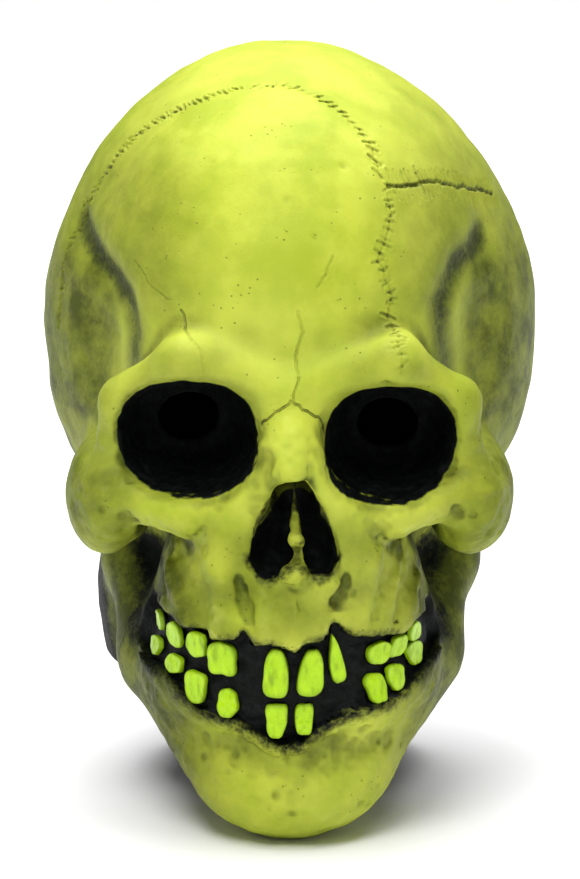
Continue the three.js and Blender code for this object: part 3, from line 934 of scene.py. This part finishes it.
def spread(tree, value, low, high, to_low=0.0, to_high=1.0):
    """Maps low..high to to_low..to_high, smoothly and clamped."""
    ramp = node(tree, "ShaderNodeMapRange", interpolation_type="SMOOTHSTEP")
    tree.links.new(value, ramp.inputs["Value"])
    for socket, number in (("From Min", low), ("From Max", high), ("To Min", to_low), ("To Max", to_high)):
        ramp.inputs[socket].default_value = number
    return ramp.outputs["Result"]


def math_node(tree, operation, a, b):
    made = tree.nodes.new("ShaderNodeMath")
    made.operation = operation
    for socket, value in zip(made.inputs, (a, b)):
        if isinstance(value, bpy.types.NodeSocket):
            tree.links.new(value, socket)
        else:
            socket.default_value = value
    return made.outputs[0]


def times(tree, a, b):
    return math_node(tree, "MULTIPLY", a, b)


def plus(tree, a, b):
    return math_node(tree, "ADD", a, b)


def blend_colours(tree, factor, a, b):
    mix = tree.nodes.new("ShaderNodeMix")
    mix.data_type = "RGBA"
    for socket, value in ((mix.inputs["Factor"], factor), (mix.inputs["A"], a), (mix.inputs["B"], b)):
        target = socket
        if socket.name in "AB":
            target = [s for s in mix.inputs if s.name == socket.name and s.type == "RGBA"][0]
        if isinstance(value, bpy.types.NodeSocket):
            tree.links.new(value, target)
        else:
            target.default_value = value
    return [s for s in mix.outputs if s.type == "RGBA"][0]


def attribute(tree, name):
    made = tree.nodes.new("ShaderNodeAttribute")
    made.attribute_name = name
    return made.outputs["Fac"]


def srgb(red, green, blue):
    """Screen values from 0 to 255 as a linear colour."""
    def linear(v):
        v = v / 255
        return v / 12.92 if v <= 0.04045 else ((v + 0.055) / 1.055) ** 2.4
    return (linear(red), linear(green), linear(blue), 1.0)


LIME = srgb(183, 193, 60)
PALE_LIME = srgb(210, 218, 98)
LEAF = srgb(136, 158, 20)
OLIVE = srgb(48, 56, 6)
# near black for black paint; on the latex it also paints shadow in the jaw hollows and temple creases
NEAR_BLACK = srgb(5, 8, 6)
DULL_BLACK = srgb(20, 25, 23)
TOOTH = srgb(168, 212, 0)
TOOTH_DARK = srgb(88, 120, 0)
TOOTH_BRIGHT = srgb(198, 236, 20)


def latex_paint(name):
    """Satin lime latex, turned olive by airbrush and painted shade in the hollows and on the sides, paler
    where a painted highlight lies on open surfaces, and blacked where the attribute says so.
    """
    material, tree, shader = new_material(name)
    mottle = spread(tree, noise(tree, 38, 5, 0.62), 0.36, 0.66)
    cloud = spread(tree, noise(tree, 11, 3), 0.35, 0.65)
    grain = noise(tree, 900, 3, 0.7)
    base = blend_colours(tree, times(tree, mottle, 0.55), LIME, LEAF)
    base = blend_colours(tree, times(tree, cloud, 0.25), base, PALE_LIME)
    # painted highlight: paler lime where the light attribute says the surface stands open
    base = blend_colours(tree, times(tree, attribute(tree, "light"), 0.6), base, PALE_LIME)
    # airbrush and painted shade: the shade attribute, broken up by noise, turns the colour towards olive
    uneven = spread(tree, noise(tree, 90, 5, 0.7), 0.3, 0.7, 0.78, 1.12)
    airbrush_and_shade = times(tree, uneven, attribute(tree, "shade"))
    base = blend_colours(tree, math_node(tree, "MINIMUM", airbrush_and_shade, 0.93), base, OLIVE)

    place = node(tree, "ShaderNodeTexCoord").outputs["Object"]
    dots = node(tree, "ShaderNodeTexVoronoi", Vector=place, Scale=330.0, Randomness=1.0).outputs["Distance"]
    few = spread(tree, noise(tree, 60, 2), 0.52, 0.62)
    specks = times(tree, spread(tree, dots, 0.16, 0.07), few)
    base = blend_colours(tree, times(tree, specks, 0.55), base, OLIVE)

    ragged = spread(tree, noise(tree, 420, 4, 0.65), 0.25, 0.75, -0.16, 0.16)
    black = spread(tree, plus(tree, attribute(tree, "black"), ragged), 0.12, 0.82)
    # black paint, and painted shadow where the black attribute carries it
    black_tone = blend_colours(tree, spread(tree, noise(tree, 260, 5, 0.7), 0.42, 0.68), NEAR_BLACK, DULL_BLACK)
    base = blend_colours(tree, black, base, black_tone)
    tree.links.new(base, shader.inputs["Base Color"])

    tree.links.new(spread(tree, grain, 0.3, 0.7, 0.5, 0.66), shader.inputs["Roughness"])
    tree.links.new(spread(tree, black, 0.0, 1.0, 0.17, 0.1), shader.inputs["Specular IOR Level"])
    shader.inputs["Coat Weight"].default_value = 0.015
    shader.inputs["Coat Roughness"].default_value = 0.4
    shader.inputs["Subsurface Weight"].default_value = 0.05
    shader.inputs["Subsurface Scale"].default_value = 0.004

    height = plus(tree, times(tree, grain, 0.16), times(tree, noise(tree, 210, 4), 0.3))
    rough_black = times(tree, noise(tree, 330, 5, 0.7), black)
    height = plus(tree, height, times(tree, rough_black, 1.6))
    height = math_node(tree, "SUBTRACT", height, times(tree, specks, 0.6))
    bump = node(tree, "ShaderNodeBump", Strength=0.55, Distance=0.0009, Height=height)
    tree.links.new(bump.outputs["Normal"], shader.inputs["Normal"])
    return material


def tooth_paint():
    """Bright satin paint with darker streaks and edges."""
    material, tree, shader = new_material("tooth_paint")
    place = node(tree, "ShaderNodeTexCoord").outputs["Object"]
    stretch = node(tree, "ShaderNodeMapping", Vector=place)
    stretch.inputs["Scale"].default_value = (1.0, 1.0, 0.35)
    along_tooth = stretch.outputs["Vector"]
    streak = node(tree, "ShaderNodeTexNoise", Vector=along_tooth, Scale=420.0, Detail=4.0).outputs["Fac"]
    blotch = spread(tree, noise(tree, 240, 4), 0.4, 0.7)
    dirt = times(tree, spread(tree, streak, 0.45, 0.75), 0.55)
    base = blend_colours(tree, dirt, TOOTH, TOOTH_DARK)
    base = blend_colours(tree, times(tree, blotch, 0.3), base, TOOTH_BRIGHT)
    base = blend_colours(tree, attribute(tree, "shade"), base, TOOTH_DARK)
    edge = plus(tree, attribute(tree, "black"), spread(tree, blotch, 0, 1, -0.1, 0.1))
    base = blend_colours(tree, spread(tree, edge, 0.4, 0.6), base, NEAR_BLACK)
    tree.links.new(base, shader.inputs["Base Color"])
    tree.links.new(spread(tree, streak, 0.3, 0.7, 0.28, 0.45), shader.inputs["Roughness"])
    shader.inputs["Specular IOR Level"].default_value = 0.3
    shader.inputs["Coat Weight"].default_value = 0.05
    shader.inputs["Coat Roughness"].default_value = 0.3
    height = plus(tree, streak, noise(tree, 700, 3))
    bump = node(tree, "ShaderNodeBump", Strength=0.4, Distance=0.0005, Height=height)
    tree.links.new(bump.outputs["Normal"], shader.inputs["Normal"])
    return material


def floor_paper():
    material, tree, shader = new_material("floor_paper")
    tint = blend_colours(tree, noise(tree, 3, 2), (0.86, 0.86, 0.86, 1), (0.9, 0.9, 0.9, 1))
    tree.links.new(tint, shader.inputs["Base Color"])
    shader.inputs["Roughness"].default_value = 0.85
    return material


# ---------------------------------------------------------------- the skin's pieces

PIECES = {
    # piece: (CAD nodes it stands for, finish slot)
    "cranium": (["cranium_skin"], "painted_skin"),
    "cranium_back": (["cranium_skin"], "painted_skin"),
    "face_upper": (["face_skin"], "painted_skin"),
    "face_lower": (["face_skin"], "painted_skin"),
    "jaw": (["jaw_skin"], "painted_skin"),
    "throat": ([], "black_neck"),
    "neck_left": (["neck_side_left"], "black_neck"),
    "neck_right": (["neck_side_right"], "black_neck"),
    "flap_left": (["rear_flap_left"], "black_neck"),
    "flap_right": (["rear_flap_right"], "black_neck"),
    "orbit_cup_left": (["orbit_cup_left"], "black_recess"),
    "orbit_cup_right": (["orbit_cup_right"], "black_recess"),
    "nose_cup": (["nose_cup", "nasal_septum"], "black_recess"),
    "upper_gum": (["upper_gum"], "black_gum"),
    "lower_gum": (["lower_gum"], "black_gum"),
}


def in_metres(point):
    return tuple((np.asarray(point, float) + SHIFT) * MM)


def set_riding(piece, name):
    """Root pieces ride whole on the root body; the jaw, lower gum, throat and flaps only have their placing
    baked into their meshes.
    """
    if name in ("jaw", "lower_gum"):
        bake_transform(piece)
    elif name == "throat":
        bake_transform(piece)
    elif name.startswith("flap"):
        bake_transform(piece)
    else:
        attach(piece, "root")


def set_values(mesh, values):
    for name, numbers in values.items():
        layer = mesh.attributes.new(name, "FLOAT", "POINT")
        layer.data.foreach_set("value", np.asarray(numbers, np.float32))


def build_pieces(materials):
    head, plain, whole, pressed, outside = build_skin()
    points = places(whole)
    normals = vectors(whole.vertices, "normal")
    black, shade, light = paint_values(head, plain, points, normals, pressed, outside)
    names = zone_names(head, plain, middles(whole))
    for name, (nodes, slot) in PIECES.items():
        piece, used = cut_out(whole, names == name, name + "_latex")
        set_values(piece.data, {"black": black[used], "shade": shade[used], "light": light[used]})
        piece.data.normals_split_custom_set_from_vertices(normals[used].tolist())
        piece.data.materials.append(materials[slot])
        set_riding(piece, name)
        if nodes:
            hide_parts(*nodes)
    bpy.data.meshes.remove(whole)
    return head


# ---------------------------------------------------------------- teeth

# per tooth: width at the top and at the foot as shares of the whole, lean across in mm, squareness, creases
UPPER_SHAPES = [
    (0.9, 0.85, 0.0, 2.4, 0), (0.75, 0.85, 0.2, 2.2, 0), (0.8, 0.8, 0.4, 2.6, 0), (0.96, 1.0, 0.0, 4.0, 0),
    (0.66, 1.0, 0.4, 3.0, 0), (0.6, 1.0, 0.8, 3.0, 0), (0.3, 1.0, -1.6, 2.4, 0),
    (0.95, 0.9, 0.3, 2.4, 0), (0.85, 0.95, 0.4, 3.4, 0), (0.6, 0.8, -1.2, 2.6, 0),
]
LOWER_SHAPES = [
    (1.0, 0.6, 0.2, 2.4, 0), (0.9, 0.8, 0.8, 2.4, 0), (1.0, 0.7, 0.4, 3.2, 0), (0.8, 0.85, 0.2, 2.3, 0),
    (1.0, 0.7, 0.5, 4.0, 2), (1.0, 0.85, 0.0, 4.0, 2),
    (1.0, 0.75, -1.4, 3.2, 0), (1.0, 0.6, -1.2, 2.8, 0), (0.9, 0.6, -1.6, 2.6, 0),
]


def tooth_profile(shape, width, height, angle):
    """A point on the tooth's outline, across and up, for an angle round it."""
    top, foot, lean, square, _ = shape
    c, s = math.cos(angle), math.sin(angle)
    reach = (abs(c) ** square + abs(s) ** square) ** (-1 / square)
    u, v = reach * c, reach * s
    narrowing = foot + (top - foot) * (0.5 + 0.5 * v)
    return u * narrowing * width / 2 + lean * v, v * height / 2


def slide_to_skin(head, point):
    """Moves a point along Y until it lies on the head's surface."""
    rows = np.linspace(-122, -50, 289)
    line = np.stack([np.full_like(rows, point[0]), rows, np.full_like(rows, point[2])], axis=1)
    first = np.argmax(head.sample(line) < 0)
    return line[first]


def build_tooth(head, name, shape, body, seed, material):
    """A rounded plate that stands on the gum, square to the face, with a rough front and a raised lip."""
    low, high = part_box(name)
    centre = (np.array(low) + np.array(high)) / 2 / MM - SHIFT
    middle = slide_to_skin(head, centre)
    outward = unit(gradient(head, middle[None], 6.0))[0]
    outward = unit(outward * np.array([1, 1, 0.6]))
    sideways = unit(np.cross(np.array([0.0, 0.0, 1.0]), outward))
    upward = np.cross(outward, sideways)
    width = (high[0] - low[0]) / MM / max(abs(sideways[0]), 0.5) * 1.06
    height = (high[2] - low[2]) / MM * 1.05
    stands = 2.6                           # from the gum to the rim of the plate
    rings = [(0.0, 0.2), (0.3, 0.18), (0.55, 0.12), (0.75, 0.08), (0.88, 0.1), (0.94, 0.06), (0.98, -0.2),
             (1.0, -0.7), (1.0, -2.4), (0.98, -4.5), (0.9, -5.6)]
    around = 56
    points, dark, black = [], [], []
    rng = np.random.default_rng(seed)
    wobble = [(k, rng.normal(0, 0.02), rng.uniform(0, 6.28)) for k in (2, 3, 5, 7)]
    for share, rise in rings[1:]:
        for i in range(around):
            angle = 2 * math.pi * i / around
            u, v = tooth_profile(shape, width, height, angle)
            ragged = 1 + sum(size * math.cos(k * angle + phase) for k, size, phase in wobble)
            points.append((u * share * ragged, v * share * ragged, rise))
            dark.append(smooth_step(share, 0.8, 1.0) * 0.55)
            black.append(smooth_step(-rise, 0.5, 1.4))
    points.append((0, 0, rings[0][1]))
    points.append((0, 0, rings[-1][1]))
    dark += [0, 1]
    black += [0, 1]
    local = np.array(points)
    for k in range(shape[4]):
        line = height * (0.28 - 0.3 * k)
        local[:, 2] -= 0.5 * np.exp(-((local[:, 1] - line) / 0.55) ** 2) * (local[:, 2] > -1)
    world = middle + local[:, :1] * sideways + local[:, 1:2] * upward + (local[:, 2:] + stands) * outward
    bumps = value_noise(world, 1.9, seed) - 0.5
    world += outward * (bumps * 0.55 * (local[:, 2] > -0.8))[:, None]
    quads = []
    for r in range(len(rings) - 2):
        for i in range(around):
            a, b = r * around + i, r * around + (i + 1) % around
            quads.append((a, a + around, b + around, b))
    front, back = len(points) - 2, len(points) - 1
    last = (len(rings) - 2) * around
    fans = [(front, i, (i + 1) % around) for i in range(around)]
    fans += [(back, last + (i + 1) % around, last + i) for i in range(around)]
    mesh = bpy.data.meshes.new(name + "_enamel")
    mesh.from_pydata([in_metres(p) for p in world], [], quads + fans)
    mesh.polygons.foreach_set("use_smooth", [True] * len(mesh.polygons))
    set_values(mesh, {"shade": dark, "black": black})
    mesh.materials.append(material)
    piece = bpy.data.objects.new(name + "_enamel", mesh)
    bpy.context.scene.collection.objects.link(piece)
    smooth = piece.modifiers.new("smooth", "SUBSURF")
    smooth.levels = smooth.render_levels = 1
    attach(piece, body)
    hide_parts(name)


def build_teeth(head, material):
    for i, shape in enumerate(UPPER_SHAPES):
        build_tooth(head, f"upper_tooth_{i + 1}", shape, "root", 40 + i, material)
    for i, shape in enumerate(LOWER_SHAPES):
        build_tooth(head, f"lower_tooth_{i + 1}", shape, "jaw", 60 + i, material)


# ---------------------------------------------------------------- studio

def studio_floor():
    form = bmesh.new()
    bmesh.ops.create_grid(form, x_segments=1, y_segments=1, size=7)
    mesh = bpy.data.meshes.new("studio_floor")
    form.to_mesh(mesh)
    form.free()
    mesh.materials.append(floor_paper())
    floor = bpy.data.objects.new("studio_floor", mesh)
    bpy.context.scene.collection.objects.link(floor)


def area_light(name, place, target, size, power):
    light = bpy.data.lights.new(name, "AREA")
    light.shape = "DISK"
    light.size = size
    light.energy = power
    lamp = bpy.data.objects.new(name, light)
    lamp.location = place
    lamp.rotation_euler = (Vector(target) - Vector(place)).to_track_quat("-Z", "Y").to_euler()
    bpy.context.scene.collection.objects.link(lamp)


def lights():
    area_light("key", (-0.2, -0.8, 1.2), (0, 0, 0.2), 0.6, 9)
    area_light("low_fill", (0.5, -1.6, 0.25), (0, 0, 0.12), 1.0, 1.5)
    area_light("overhead", (0, 0.8, 3.4), (0, 0.8, 0), 4.0, 230)
    world = bpy.data.worlds.new("world")
    bpy.context.scene.world = world
    world.use_nodes = True
    world.node_tree.nodes["Background"].inputs["Color"].default_value = (1, 1, 1, 1)
    world.node_tree.nodes["Background"].inputs["Strength"].default_value = 0.22
    bpy.context.scene.view_settings.view_transform = "Standard"


def camera():
    elevation = math.radians(11)
    distance = 1.9
    target = Vector((0, FRONT_SHIFT * MM, 0.1355))
    data = bpy.data.cameras.new("camera")
    data.sensor_fit = "VERTICAL"
    data.sensor_height = 24
    data.lens = 134.5
    view = bpy.data.objects.new("camera", data)
    view.location = target + distance * Vector((0, -math.cos(elevation), math.sin(elevation)))
    view.rotation_euler = (target - view.location).to_track_quat("-Z", "Y").to_euler()
    bpy.context.scene.collection.objects.link(view)
    bpy.context.scene.camera = view


SHIFT = np.array([0.0, FRONT_SHIFT, 0.0])
MATERIALS = {
    "painted_skin": latex_paint("painted_latex"),
    "black_neck": latex_paint("neck_latex"),
    "black_recess": latex_paint("recess_latex"),
    "black_gum": latex_paint("gum_latex"),
}
skull = build_pieces(MATERIALS)
build_teeth(skull, tooth_paint())
studio_floor()
lights()
camera()
